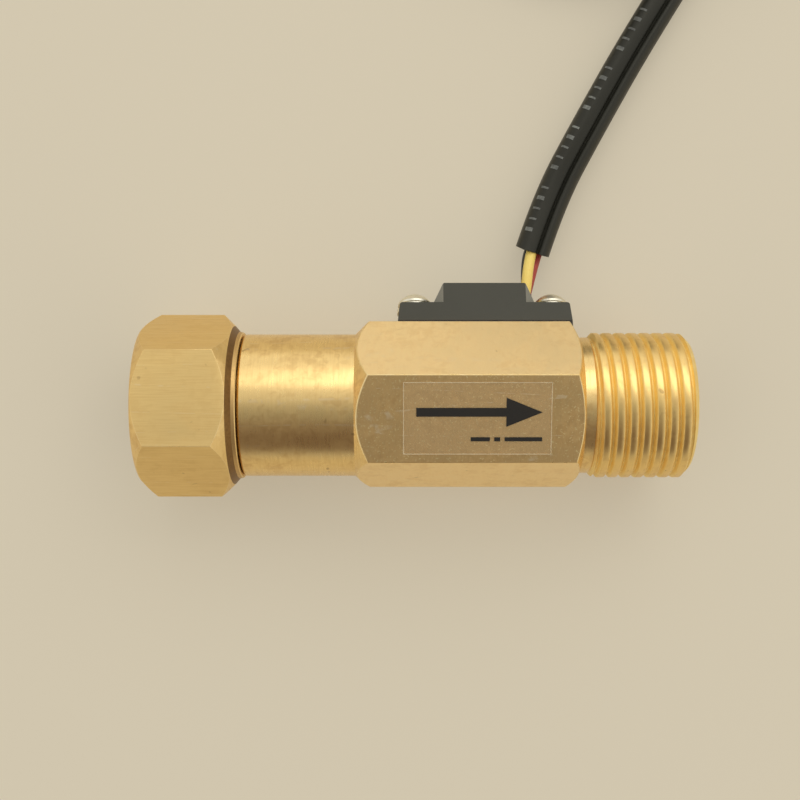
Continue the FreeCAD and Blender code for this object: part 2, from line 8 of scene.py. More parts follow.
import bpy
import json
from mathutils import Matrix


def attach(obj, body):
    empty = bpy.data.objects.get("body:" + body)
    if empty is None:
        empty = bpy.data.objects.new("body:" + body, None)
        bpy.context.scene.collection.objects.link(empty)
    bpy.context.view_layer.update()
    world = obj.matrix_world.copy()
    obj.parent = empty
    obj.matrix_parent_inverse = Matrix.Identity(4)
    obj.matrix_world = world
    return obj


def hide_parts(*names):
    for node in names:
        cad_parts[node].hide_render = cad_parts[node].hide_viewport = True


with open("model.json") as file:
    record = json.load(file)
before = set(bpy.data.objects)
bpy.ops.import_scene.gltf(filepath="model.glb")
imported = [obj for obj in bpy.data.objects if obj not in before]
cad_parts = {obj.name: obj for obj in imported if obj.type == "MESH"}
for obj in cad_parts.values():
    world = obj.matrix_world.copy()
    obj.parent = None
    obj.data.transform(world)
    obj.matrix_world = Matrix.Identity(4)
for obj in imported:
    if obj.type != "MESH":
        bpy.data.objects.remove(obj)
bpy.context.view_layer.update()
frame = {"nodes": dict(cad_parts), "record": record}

# %% Modules and the unit
import json
import math

import bmesh
import bpy
from mathutils import Vector

MM = 0.001

# %% [markdown]
# ## Camera
# The photograph looks straight down on the sensor from close by, about 17 cm above the flow axis. At that
# distance the nearer surfaces look clearly larger, so the camera's height matters as much as its lens. A
# Blender camera already looks down along -Z, with +Y up in its picture, and it needs no turning here.

# %% Camera above the sensor
lens = bpy.data.cameras.new("camera")
lens.sensor_width = 36
lens.lens = 52.18
lens.clip_start = 0.005
camera = bpy.data.objects.new("camera", lens)
camera.location = (-33.25 * MM, 0.735 * MM, 167.4 * MM)
bpy.context.scene.collection.objects.link(camera)
bpy.context.scene.camera = camera
print("camera height above the flow axis:", round(camera.location.z, 4), "m")

# %% [markdown]
# ## Small helpers
# Every piece is linked to the scene with its place in its mesh and its object at the origin, as the CAD's
# own parts are. Smooth shading with sharp edges above an angle keeps the flats flat and the turned
# surfaces round.

# %% Helpers for pieces
def in_scene(name, data):
    obj = bpy.data.objects.new(name, data)
    bpy.context.scene.collection.objects.link(obj)
    return obj


def add_piece(name, data, body):
    piece = in_scene(name, data)
    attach(piece, body)
    return piece


def mesh_from(bm, name, sharp_above=30):
    mesh = bpy.data.meshes.new(name)
    bm.to_mesh(mesh)
    bm.free()
    mesh.shade_smooth()
    mesh.set_sharp_from_angle(angle=math.radians(sharp_above))
    print(name, "has", len(mesh.polygons), "faces")
    return mesh


def evaluated_mesh(obj):
    bpy.context.view_layer.update()
    graph = bpy.context.evaluated_depsgraph_get()
    return bpy.data.meshes.new_from_object(obj.evaluated_get(graph))


def across_flow(degrees):
    """The direction across the flow axis that lies so far from +Z, turned towards +Y."""
    a = math.radians(degrees)
    return Vector((0, math.sin(a), math.cos(a)))


def from_axis(point):
    return math.hypot(point.y, point.z)


# %% [markdown]
# ## The sleeve's line
# A black sleeve covers the three leads. A soft sleeve has no corners, so its line is a NURBS spline: the
# curve is drawn towards its control points and never kinks. The first points follow the photograph, from
# the cut end near the housing to the picture's upper edge. The rest isn't seen: it goes once and a third
# round a loop that lies on the table, and ends in a plug.

# %% Control points of the sleeve
floor = -11.95
sleeve_r = 2.65
run_points = [(-13.2, 23.2, -8.3), (-10.4, 31.4, -9.25), (-5.1, 41.4, -9.3), (3.7, 57.0, -9.3)]
loop_middle = Vector((-5.352, 97.732, -9.3))
loop_r = 29.0
points_per_turn = 16
first_angle, last_angle = -31.5, 450.0
climb_start, climb_end = 250.0, 318.0


def loop_point(degrees):
    """A control point of the loop. It lies a little outside, because the spline cuts the corner."""
    radius = loop_r / math.cos(math.pi / points_per_turn)
    share = min(max((degrees - climb_start) / (climb_end - climb_start), 0), 1)
    rise = 2 * sleeve_r * share * share * (3 - 2 * share)
    a = math.radians(degrees)
    return loop_middle + Vector((radius * math.cos(a), radius * math.sin(a), rise))


steps = round((last_angle - first_angle) / 360 * points_per_turn)
turns = [loop_point(first_angle + (last_angle - first_angle) * i / steps) for i in range(steps + 1)]
tail = [(-11.5, 29.4, 5.2), (-21.0, 30.3, 2.4), (-31.0, 30.8, 0.25)]
tail_points = [loop_middle + Vector(p) for p in tail]
sleeve_points = [Vector(p) for p in run_points] + turns + tail_points
print("control points:", len(sleeve_points), "of which in the loop:", len(turns))


# %% Spline through the control points
def nurbs_line(name, points):
    """An open NURBS curve object. Order and end points are set once the points are there."""
    data = bpy.data.curves.new(name, "CURVE")
    data.dimensions = "3D"
    data.twist_mode = "Z_UP"
    spline = data.splines.new("NURBS")
    spline.points.add(len(points) - 1)
    for knot, place in zip(spline.points, points):
        knot.co = (*(Vector(place) * MM), 1)
    spline.order_u = 3
    spline.use_endpoint_u = True
    spline.resolution_u = 8
    return in_scene(name, data)


def points_of(line):
    return [v.co.copy() for v in evaluated_mesh(line).vertices]


sleeve_line = nurbs_line("sleeve_line", sleeve_points)
sleeve_path = points_of(sleeve_line)

# %% [markdown]
# ## The sleeve's body
# The real sleeve isn't round. It has been packed flat once, and a crease runs along its top: a broad face
# on the left, a dark groove, and a narrow ridge on the right. One closed outline of that shape, carried
# along the line as the curve's bevel object, gives the whole length. Solidify then turns the skin into a
# tube, so that its cut end shows a rim and the leads go into it.

# %% Outline of the sleeve
crease = [
    (2.60, -0.25), (2.45, 0.95), (1.95, 1.80), (1.35, 2.18), (0.98, 2.02), (0.66, 1.58), (0.34, 1.86),
    (-0.45, 2.12), (-1.45, 2.10), (-2.22, 1.50), (-2.60, 0.30), (-2.45, -1.10), (-1.50, -2.18),
    (0.10, -2.62), (1.35, -2.26), (2.28, -1.40),
]


def closed_outline(name, points, resolution):
    data = bpy.data.curves.new(name, "CURVE")
    data.dimensions = "2D"
    spline = data.splines.new("BEZIER")
    spline.bezier_points.add(len(points) - 1)
    for knot, (x, y) in zip(spline.bezier_points, points):
        knot.co = (x * MM, y * MM, 0)
        knot.handle_left_type = "AUTO"
        knot.handle_right_type = "AUTO"
    spline.use_cyclic_u = True
    spline.resolution_u = resolution
    return in_scene(name, data)


def carried_along(line, outline):
    """The skin that an outline leaves along a line, with its doubles merged."""
    line.data.bevel_mode = "OBJECT"
    line.data.bevel_object = outline
    skin = evaluated_mesh(line)
    line.data.bevel_object = None
    bm = bmesh.new()
    bm.from_mesh(skin)
    bmesh.ops.remove_doubles(bm, verts=bm.verts, dist=0.001 * MM)
    return bm


# %% Sleeve with its wall
mouth = Vector(run_points[0])
along = (Vector(run_points[1]) - mouth).normalized()
sideways = along.cross(Vector((0, 0, 1))).normalized()
upwards = sideways.cross(along)
knife_slant = 0.28
sleeve_wall = 0.45

sleeve_outline = closed_outline("sleeve_outline", crease, 3)
bm = carried_along(sleeve_line, sleeve_outline)
for v in bm.verts:
    from_mouth = v.co / MM - mouth
    if from_mouth.length < 2 * sleeve_r and from_mouth.dot(along) < 0.1:
        v.co -= along * (knife_slant * from_mouth.dot(upwards) * MM)
bmesh.ops.recalc_face_normals(bm, faces=bm.faces)
bmesh.ops.solidify(bm, geom=bm.faces[:], thickness=sleeve_wall * MM)
sleeve = add_piece("lead_sleeve", mesh_from(bm, "lead_sleeve", 40), "sensor")
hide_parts("cable_sleeve", "cable_coil", "cable_tail")

# %% [markdown]
# ## Length marks
# A faint row of marks is printed along the sleeve's broad face. Each mark is a thin plate that follows the
# face: a point on the sleeve's line, moved out along the outline, gives each of its corners.

# %% Marks on the sleeve
mark_across = [(-1.20, 2.20), (-1.50, 2.14), (-1.93, 1.92), (-2.26, 1.54)]
mark_count, first_mark, mark_pitch = 30, 2.6, 1.7
long_half, short_half = 0.3, 0.16
mark_thick = 0.06


def at_distance(path, distance):
    """The point at a distance along a path, and the direction there."""
    for start, end in zip(path, path[1:]):
        step = (end - start).length
        if distance <= step:
            way = (end - start).normalized()
            return start + way * distance, way
        distance -= step
    return path[-1], (path[-1] - path[-2]).normalized()


bm = bmesh.new()
for n in range(mark_count):
    if n % 6 == 5:
        continue
    half = long_half if n % 3 == 0 else short_half
    rows = []
    for offset in (-half, half):
        place, way = at_distance(sleeve_path, (first_mark + mark_pitch * n + offset) * MM)
        right = way.cross(Vector((0, 0, 1))).normalized()
        up = right.cross(way)
        rows.append([bm.verts.new(place + (right * x + up * y) * MM) for x, y in mark_across])
    for i in range(len(mark_across) - 1):
        bm.faces.new((rows[0][i], rows[0][i + 1], rows[1][i + 1], rows[1][i]))
bmesh.ops.recalc_face_normals(bm, faces=bm.faces)
bmesh.ops.solidify(bm, geom=bm.faces[:], thickness=mark_thick * MM)
sleeve_marks = add_piece("sleeve_marks", mesh_from(bm, "sleeve_marks"), "sensor")

# %% [markdown]
# ## The leads
# Three leads leave the ramp of the housing side by side, and come together at the mouth of the sleeve.
# Each is a round wire on a spline of its own. The points are given on the housing's flat, as if it were
# turned to the top, and `on_flat` brings them to where the sensor lies.

# %% Leads between the housing and the sleeve
roll = 109.9
ramp_x = -15.25
inside_high, leave_high, bend_high = 14.3, 15.2, 16.4
wire_r = 0.8


def on_flat(x, across, high):
    return Vector((x, 0, 0)) + across_flow(roll + 90) * across + across_flow(roll) * high


def lead(name, across, beside, bow, node):
    """across is the place in the ramp, beside is (right, up) in the mouth, and bow moves the bend along X."""
    place = mouth + sideways * beside[0] + upwards * beside[1]
    points = [
        on_flat(ramp_x - 1.4, -across, inside_high), on_flat(ramp_x - 0.1, -across, leave_high),
        on_flat(ramp_x + 0.5 + bow, -across, bend_high),
    ]
    points += [place + along * distance for distance in (-1.6, 1.5, 5.0)]
    line = nurbs_line(name + "_line", points)
    line.data.bevel_depth = wire_r * MM
    line.data.bevel_resolution = 5
    line.data.use_fill_caps = True
    mesh = evaluated_mesh(line)
    bpy.data.objects.remove(line)
    bm = bmesh.new()
    bm.from_mesh(mesh)
    bmesh.ops.remove_doubles(bm, verts=bm.verts, dist=0.001 * MM)
    bmesh.ops.recalc_face_normals(bm, faces=bm.faces)
    piece = add_piece(name, mesh_from(bm, name), "sensor")
    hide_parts(node)
    return piece


yellow_lead = lead("yellow_lead", 1.85, (-0.15, 0.91), 0, "wire_yellow")
red_lead = lead("red_lead", 0, (0.78, -0.40), 0, "wire_red")
black_lead = lead("black_lead", -1.85, (-0.35, -1.35), 0.6, "wire_black")

# %% [markdown]
# ## Turned and milled brass
# A lathe makes a shape by turning a profile about an axis, and so does the spin operator: a few points
# give the outline, bore included. The hexagon comes next, as it does from a bar: six planes cut the turned
# blank. Where such a plane meets the cone of a chamfer, it leaves the curved edge that every nut has.

# %% Lathe and mill
lathe_steps = 160


def turned_blank(outline):
    """A closed ring: (x, radius) points, spun once about the flow axis."""
    bm = bmesh.new()
    knots = [bm.verts.new((x * MM, 0, r * MM)) for x, r in outline]
    edges = [bm.edges.new(pair) for pair in zip(knots, knots[1:] + knots[:1])]
    bmesh.ops.spin(
        bm, geom=knots + edges, cent=(0, 0, 0), axis=(1, 0, 0), angle=math.tau, steps=lathe_steps,
        use_merge=True, use_normal_flip=False, use_duplicate=False,
    )
    bmesh.ops.remove_doubles(bm, verts=bm.verts, dist=0.0005 * MM)
    bmesh.ops.recalc_face_normals(bm, faces=bm.faces)
    return bm


def cut_off(bm, point, outwards):
    """Takes away what lies beyond a plane, and closes the cut."""
    everything = bm.verts[:] + bm.edges[:] + bm.faces[:]
    cut = bmesh.ops.bisect_plane(
        bm, geom=everything, dist=0.0001 * MM, plane_co=point, plane_no=outwards, clear_outer=True,
    )
    rim = [item for item in cut["geom_cut"] if isinstance(item, bmesh.types.BMEdge)]
    bmesh.ops.edgeloop_fill(bm, edges=rim)


def cut_flats(bm, across_flats, turned_by):
    """Six planes about the flow axis. The first faces up, turned from +Z towards +Y."""
    for i in range(6):
        facing = across_flow(turned_by + 60 * i)
        cut_off(bm, facing * (across_flats / 2 * MM), facing)
    bmesh.ops.recalc_face_normals(bm, faces=bm.faces)


def middle_of(edge):
    return sum((v.co for v in edge.verts), Vector()) / 2 / MM


def break_edges(bm, width, above, chosen):
    """Bevels the chosen edges that are sharper than an angle, and gives the new faces material 1."""
    sharp = [
        e for e in bm.edges
        if len(e.link_faces) == 2 and e.calc_face_angle(0) > math.radians(above) and chosen(e)
    ]
    made = bmesh.ops.bevel(
        bm, geom=sharp, offset=width * MM, offset_type="OFFSET", segments=2, profile=0.5,
        affect="EDGES", material=-1, clamp_overlap=True,
    )
    for face in made["faces"]:
        face.material_index = 1
    return len(made["faces"])


# %% [markdown]
# ## Threads
# A pipe thread is one short outline that climbs by its pitch in each turn. The spin operator can do that
# too: its `dvec` moves the outline along the axis a little at every step. After one full turn the outline
# fits on its own neighbour, and merging the doubles closes the surface. Two planes cut it to length.

# %% Threaded rod
thread_pitch = 1.814
thread_steps = 120
thread_outline = [
    (0.0, 9.74), (0.08, 9.77), (0.16, 9.87), (0.24, 10.02), (0.31, 10.16), (0.38, 10.28), (0.44, 10.36),
    (0.52, 10.395), (0.907, 10.40), (1.294, 10.395), (1.374, 10.36), (1.434, 10.28), (1.504, 10.16),
    (1.574, 10.02), (1.654, 9.87), (1.734, 9.77),
]


def threaded_rod(x0, x1, outline):
    """A rod from x0 to x1 with the outline as its thread, closed at both ends."""
    turns_needed = math.ceil((x1 - x0) / thread_pitch) + 2
    bm = bmesh.new()
    knots = []
    for n in range(turns_needed):
        start = x0 + (n - 1.5) * thread_pitch
        knots += [bm.verts.new(((start + dx) * MM, 0, r * MM)) for dx, r in outline]
    edges = [bm.edges.new(pair) for pair in zip(knots, knots[1:])]
    bmesh.ops.spin(
        bm, geom=knots + edges, cent=(0, 0, 0), axis=(1, 0, 0), angle=math.tau, steps=thread_steps,
        dvec=(thread_pitch / thread_steps * MM, 0, 0), use_merge=False, use_normal_flip=False,
        use_duplicate=False,
    )
    bmesh.ops.remove_doubles(bm, verts=bm.verts, dist=0.002 * MM)
    for x, way in ((x0, -1), (x1, 1)):
        cut_off(bm, (x * MM, 0, 0), (way, 0, 0))
    bmesh.ops.recalc_face_normals(bm, faces=bm.faces)
    return bm


def combined(first, second, operation, name):
    """A Boolean of two closed bmeshes, as a new bmesh."""
    pair = []
    for bm in (first, second):
        mesh = bpy.data.meshes.new(name)
        bm.to_mesh(mesh)
        bm.free()
        pair.append(in_scene(name, mesh))
    tool = pair[0].modifiers.new("cut", "BOOLEAN")
    tool.operation = operation
    tool.solver = "EXACT"
    tool.object = pair[1]
    result = evaluated_mesh(pair[0])
    for obj in pair:
        bpy.data.objects.remove(obj)
    bm = bmesh.new()
    bm.from_mesh(result)
    return bm


# %% [markdown]
# ## Sensor body
# The body is one piece of brass: a hexagon with a round tube and a spigot on its inlet side, and a neck
# and the outlet thread on the other. The core is turned and milled as above. The thread is a ring of its
# own that sits on the core, cut from the rod by an envelope with the chamfer of its outer end.

# %% Core of the body
hex_inlet, hex_outlet = -39.55, -7.95
shoulder, spigot_end = -55.45, -60.25
thread_start, outlet_end = -6.55, 7.55
hex_corner_r = 12.3
hex_across, hex_edge = 21.1, 0.11
inlet_cut = hex_corner_r - 10.25
outlet_cut = inlet_cut * math.tan(math.radians(30))
body_outline = [
    (spigot_end, 6.4), (spigot_end, 7.9), (spigot_end + 0.1, 8.0), (-59.6, 8.0), (-59.3, 7.35),
    (-58.6, 7.35), (-58.3, 8.0), (shoulder, 8.0), (shoulder, 9.93), (shoulder + 0.25, 10.18),
    (hex_inlet, 10.18), (hex_inlet, 10.25), (hex_inlet + inlet_cut, hex_corner_r),
    (hex_outlet - outlet_cut, hex_corner_r), (hex_outlet, 10.25), (hex_outlet, 9.75),
    (thread_start + 0.1, 9.75), (thread_start + 0.1, 8.7), (outlet_end - 0.5, 8.7),
    (outlet_end - 0.5, 8.1), (outlet_end, 8.1), (outlet_end, 7.9), (outlet_end - 0.4, 7.5),
    (-9.85, 7.5), (-9.85, 8.1), (-10.85, 8.1), (-10.85, 7.5), (-35.25, 7.5), (-35.25, 6.2),
    (spigot_end + 0.2, 6.2),
]
bm = turned_blank(body_outline)
cut_flats(bm, hex_across, roll)


def on_hexagon(edge):
    middle = middle_of(edge)
    return from_axis(middle) > 10.4 and hex_inlet < middle.x < hex_outlet


print("broken edges of the hexagon:", break_edges(bm, hex_edge, 15, on_hexagon))

# %% [markdown]
# The body's faces differ in finish: 0 is turned, 1 a broken edge, 2 a flat, 3 the thread's crests, 4 the
# bore, 5 the flat with the film, and 6 the thread's valleys.

# %% Regions of the body that have a finish of their own
film_turn = roll - 120
label_up = across_flow(film_turn)
for face in bm.faces:
    if face.material_index == 1:
        continue
    middle = face.calc_center_median() / MM
    outwards = Vector((0, middle.y, middle.z))
    if hex_inlet < middle.x < hex_outlet and from_axis(middle) > 10.3 and abs(face.normal.x) < 0.05:
        face.material_index = 5 if face.normal.dot(label_up) > 0.95 else 2
    elif from_axis(middle) < 8.2 and middle.x > spigot_end + 0.3 and face.normal.dot(outwards) < 0:
        face.material_index = 4
core = mesh_from(bm, "body_core", 12)

# %% Outlet thread
valley_top = 10.34
rod = threaded_rod(thread_start - 0.3, outlet_end + 0.5, thread_outline)
envelope = turned_blank([
    (thread_start - 0.05, 8.1), (thread_start - 0.05, 9.4), (thread_start + 0.95, 10.5),
    (outlet_end - 1.05, 10.5), (outlet_end, 9.42), (outlet_end, 8.1),
])
bm = combined(rod, envelope, "INTERSECT", "thread")
for face in bm.faces:
    face.material_index = 6 if from_axis(face.calc_center_median() / MM) < valley_top else 3
thread_mesh = mesh_from(bm, "outlet_thread", 28)
bm = bmesh.new()
bm.from_mesh(core)
bm.from_mesh(thread_mesh)
body_mesh = bpy.data.meshes.new("brass_body")
bm.to_mesh(body_mesh)
bm.free()
body = add_piece("brass_body", body_mesh, "sensor")
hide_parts("sensor_body")

# %% [markdown]
# ## Union nut
# The nut is made the same way. Its blank has six flats and a chamfer at each end, and a narrow cone
# behind the flats. A threaded rod, a little thinner, is taken away from it and leaves the inner thread.
# Its faces are numbered too: 0 turned, 1 a broken edge, 2 a flat, 3 the bore, and 4 the narrow groove, whose
# dark brown finish is painted shade.

# %% Nut
nut_front, nut_rear = -69.85, -55.65
nut_corner_r = 13.3
nut_across, nut_roll, nut_edge = 22.8, 5.2, 0.09
collar, thread_floor = nut_rear - 1.3, -61.95
nut_outline = [
    (nut_front, 10.25), (nut_front, 11.2), (nut_front + nut_corner_r - 11.2, nut_corner_r),
    (collar - (nut_corner_r - 11.38), nut_corner_r), (collar, 11.38),
    (nut_rear - 0.66, 10.62), (nut_rear - 0.56, 10.56), (nut_rear - 0.12, 10.46), (nut_rear, 10.34),
    (nut_rear, 8.3), (nut_rear - 0.2, 8.08), (-58.05, 8.08), (-58.05, 9.6), (thread_floor, 9.6),
    (thread_floor, 9.32), (nut_front + 0.93, 9.32),
]
nut_blank = turned_blank(nut_outline)
cut_flats(nut_blank, nut_across, nut_roll)


def outside_nut(edge):
    return from_axis(middle_of(edge)) > 11.0


print("broken edges of the nut:", break_edges(nut_blank, nut_edge, 15, outside_nut))
inner_outline = [(dx, r - 0.12) for dx, r in thread_outline]
tap = threaded_rod(nut_front - 1.0, thread_floor, inner_outline)
bm = combined(nut_blank, tap, "DIFFERENCE", "nut")
for face in bm.faces:
    if face.material_index == 1:
        continue
    middle = face.calc_center_median() / MM
    radius = from_axis(middle)
    if radius > 11.2 and abs(face.normal.x) < 0.05:
        face.material_index = 2
    # index 4, the narrow groove, gets the painted shade
    elif radius > 10.5 and collar < middle.x < nut_rear - 0.6:
        face.material_index = 4
    elif radius < 10.6 and nut_front + 0.02 < middle.x < nut_rear - 0.2:
        face.material_index = 3
nut = add_piece("brass_nut", mesh_from(bm, "brass_nut", 14), "nut")
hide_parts("union_nut")

# %% [markdown]
# ## Pick-up housing
# The housing's solid already has the right shape. A copy of its mesh is merged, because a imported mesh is
# loose triangles, and a narrow bevel gives the moulded part its slightly rounded edges.

# %% Housing
def rounded_copy(node, name, width):
    """A merged copy of a solid's mesh, with its edges rounded to a width."""
    bm = bmesh.new()
    bm.from_mesh(frame["nodes"][node].data)
    bmesh.ops.remove_doubles(bm, verts=bm.verts, dist=0.001 * MM)
    bmesh.ops.dissolve_limit(
        bm, angle_limit=math.radians(0.5), verts=bm.verts[:], edges=bm.edges[:],
        use_dissolve_boundaries=False,
    )
    piece = add_piece(name, mesh_from(bm, name, 25), frame_body(node))
    bevel = piece.modifiers.new("edges", "BEVEL")
    bevel.width = width * MM
    bevel.segments = 3
    bevel.limit_method = "ANGLE"
    bevel.angle_limit = math.radians(32)
    bevel.harden_normals = True
    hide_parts(node)
    return piece


def frame_body(node):
    for name, nodes in frame["record"]["behaviour"]["bodies"].items():
        if node in nodes:
            return name
    return "sensor"


housing = rounded_copy("sensor_housing", "pick_up_housing", 0.3)
plug = rounded_copy("plug_housing", "plug_shell", 0.12)

# %% [markdown]
# ## Film and print
# A clear film lies on the flat beside the housing. Clear film hardly shows on metal: its cut edge catches
# the light, and so it is a thin frame of its own in a pale colour, a painted highlight. The print on it is
# plain: an arrow for the direction of the flow, and a few bars where a real sensor has small print.

# %% Plates on the film's flat
film_x, film_off_middle, film_top = -22.75, 0.1, 10.65
film_half_len, film_half_width = 10.1, 5.0
label_side = across_flow(film_turn + 90)


def plate(bm, outline, low, high):
    """A closed plate from an outline in (x, across) on the film, between two heights above it."""
    corners = [
        Vector((film_x + x, 0, 0)) + label_side * (film_off_middle + y) + label_up * (film_top + high)
        for x, y in outline
    ]
    face = bm.faces.new([bm.verts.new(corner * MM) for corner in corners])
    made = bmesh.ops.extrude_face_region(bm, geom=[face])
    lower = [item for item in made["geom"] if isinstance(item, bmesh.types.BMVert)]
    bmesh.ops.translate(bm, verts=lower, vec=label_up * ((low - high) * MM))
    bmesh.ops.recalc_face_normals(bm, faces=bm.faces)


def bar(x0, x1, y0, y1):
    return [(x0, y0), (x1, y0), (x1, y1), (x0, y1)]


# %% Film
bm = bmesh.new()
plate(bm, bar(-film_half_len, film_half_len, -film_half_width, film_half_width), -0.085, 0)
clear_film = add_piece("clear_film", mesh_from(bm, "clear_film"), "sensor")
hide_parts("label_film")

# %% Edge of the film
edge_width = 0.14
inner_len, inner_width = film_half_len - edge_width, film_half_width - edge_width
bm = bmesh.new()
for x0, x1, y0, y1 in (
    (-film_half_len, film_half_len, -film_half_width, -inner_width),
    (-film_half_len, film_half_len, inner_width, film_half_width),
    (-film_half_len, -inner_len, -inner_width, inner_width),
    (inner_len, film_half_len, -inner_width, inner_width),
):
    plate(bm, bar(x0, x1, y0, y1), -0.03, 0.015)
film_edge = add_piece("film_edge", mesh_from(bm, "film_edge"), "sensor")

# %% Flow arrow and bars
arrow = [(-8.3, 0.25), (3.9, 0.25), (3.9, -1.15), (8.8, 0.85), (3.9, 2.85), (3.9, 1.45), (-8.3, 1.45)]
bm = bmesh.new()
plate(bm, arrow, -0.02, 0.02)
for x0, x1 in ((-0.9, 1.7), (2.3, 3.1), (3.7, 8.8)):
    plate(bm, bar(x0, x1, -3.15, -2.6), -0.02, 0.02)
flow_print = add_piece("flow_print", mesh_from(bm, "flow_print"), "sensor")

# %% The helper curves go
bpy.data.objects.remove(sleeve_line)
bpy.data.objects.remove(sleeve_outline)

# %% [markdown]
# ## Floor
# The table is warm and pale, and its shadows are faint. A broad, even light from all round would wash out
# the dark band on the brass, so the table gives part of its own brightness instead: a Light Path node adds
# it for what the camera sees, directly or in a reflection, and the rest of the table still takes shadow.

# %% Table
table_r, table_drop = 1.6, 0.01
bm = bmesh.new()
bmesh.ops.create_circle(bm, cap_ends=True, segments=96, radius=table_r)
bmesh.ops.translate(bm, verts=bm.verts, vec=(0, 0, (floor - table_drop) * MM))
table = in_scene("table", mesh_from(bm, "table"))

# %% Table's finish
table_colour = (0.80, 0.715, 0.545)
diffuse_share, own_share = 0.5, 0.42
table_matt = bpy.data.materials.new("table_matt")
table_matt.use_nodes = True
nodes, links = table_matt.node_tree.nodes, table_matt.node_tree.links
shader = nodes["Principled BSDF"]
shader.inputs["Base Color"].default_value = (*[c * diffuse_share for c in table_colour], 1)
shader.inputs["Roughness"].default_value = 0.9
shader.inputs["Specular IOR Level"].default_value = 0.2
shader.inputs["Emission Color"].default_value = (*table_colour, 1)
rays = nodes.new("ShaderNodeLightPath")
seen = rays.outputs["Is Camera Ray"]
for kind in ("Is Glossy Ray", "Is Transmission Ray"):
    either = nodes.new("ShaderNodeMath")
    either.operation = "MAXIMUM"
    links.new(seen, either.inputs[0])
    links.new(rays.outputs[kind], either.inputs[1])
    seen = either.outputs[0]
own_light = nodes.new("ShaderNodeMath")
own_light.operation = "MULTIPLY"
own_light.inputs[1].default_value = own_share
links.new(seen, own_light.inputs[0])
links.new(own_light.outputs[0], shader.inputs["Emission Strength"])
table.data.materials.append(table_matt)
print("share of the table colour that it shows by itself:", own_share)

# %% [markdown]
# ## Light
# Brass is a mirror for the whole room, so the room is painted with care. Along the flow axis nothing
# changes, but round it the brightness goes from a bright window side to a dark near side, and that draws
# the bright and the dark band on the tube. The dark side is only as wide as a person and a camera are: to
# the left and right of it the room is bright again, which lights the table evenly.

# %% World
world = bpy.data.worlds.new("room")
bpy.context.scene.world = world
world.use_nodes = True
nodes, links = world.node_tree.nodes, world.node_tree.links
place = nodes.new("ShaderNodeTexCoord")
split = nodes.new("ShaderNodeSeparateXYZ")
links.new(place.outputs["Generated"], split.inputs[0])
angle = nodes.new("ShaderNodeMath")
angle.operation = "ARCTAN2"
links.new(split.outputs["Y"], angle.inputs[0])
links.new(split.outputs["Z"], angle.inputs[1])
spread = nodes.new("ShaderNodeMapRange")
spread.inputs["From Min"].default_value = -math.pi
spread.inputs["From Max"].default_value = math.pi
links.new(angle.outputs[0], spread.inputs["Value"])
ramp = nodes.new("ShaderNodeValToRGB")
ramp.color_ramp.interpolation = "EASE"
links.new(spread.outputs["Result"], ramp.inputs["Fac"])
levels = [
    (-180, 0.60, 1), (-98, 0.90, 1), (-86, 0.50, 1), (-76, 0.15, 0), (-52, 0.15, 0), (-34, 0.22, 0.3),
    (-16, 0.33, 1), (-2, 0.39, 1), (9, 0.74, 1), (24, 0.74, 1), (50, 0.80, 1), (72, 0.88, 1),
    (88, 1.15, 1), (110, 1.15, 1), (180, 0.60, 1),
]
neutral, brown = (1, 0.985, 0.95), (1, 0.72, 0.60)
stops = ramp.color_ramp.elements
while len(stops) < len(levels):
    stops.new(0.5)
for stop, (degrees, level, share) in zip(stops, levels):
    stop.position = (degrees + 180) / 360
    stop.color = (*[level * (n * share + b * (1 - share)) for n, b in zip(neutral, brown)], 1)
print("world levels:", len(levels))

# %% Beside the band
band_half, beside_from = 0.34, 0.62
beside_colour = (0.85, 0.84, 0.81, 1)
sideways_look = nodes.new("ShaderNodeMath")
sideways_look.operation = "ABSOLUTE"
links.new(split.outputs["X"], sideways_look.inputs[0])
beside_band = nodes.new("ShaderNodeMapRange")
beside_band.inputs["From Min"].default_value = band_half
beside_band.inputs["From Max"].default_value = beside_from
links.new(sideways_look.outputs[0], beside_band.inputs["Value"])
room = nodes.new("ShaderNodeMix")
room.data_type = "RGBA"
links.new(beside_band.outputs["Result"], room.inputs["Factor"])
links.new(ramp.outputs["Color"], room.inputs["A"])
room.inputs["B"].default_value = beside_colour
links.new(room.outputs["Result"], nodes["Background"].inputs["Color"])
nodes["Background"].inputs["Strength"].default_value = 1.0
print("the band ends at", band_half, "and the bright sides begin at", beside_from)

# %% Window lamp
lamp = bpy.data.lights.new("window", "AREA")
lamp.shape = "RECTANGLE"
lamp.size = 0.6
lamp.size_y = 0.4
lamp.energy = 1.0
lamp.color = (1.0, 0.985, 0.95)
window = in_scene("window", lamp)
window.location = (0.15, 0.45, 0.5)
window.rotation_euler = (Vector((0, 0, 0)) - window.location).to_track_quat("-Z", "Y").to_euler()
print("window at", [round(c, 2) for c in window.location], "with", lamp.energy, "W")

# %% [markdown]
# ## Finishes
# Handled metal is never one even colour. Four effects make the difference: a fine grain that can be
# stretched into drawn or turned lines, broad blotches from handling, small specks, and a few long thin
# scratches. Each is a node group with one value out, and each finish mixes them in its own measure.

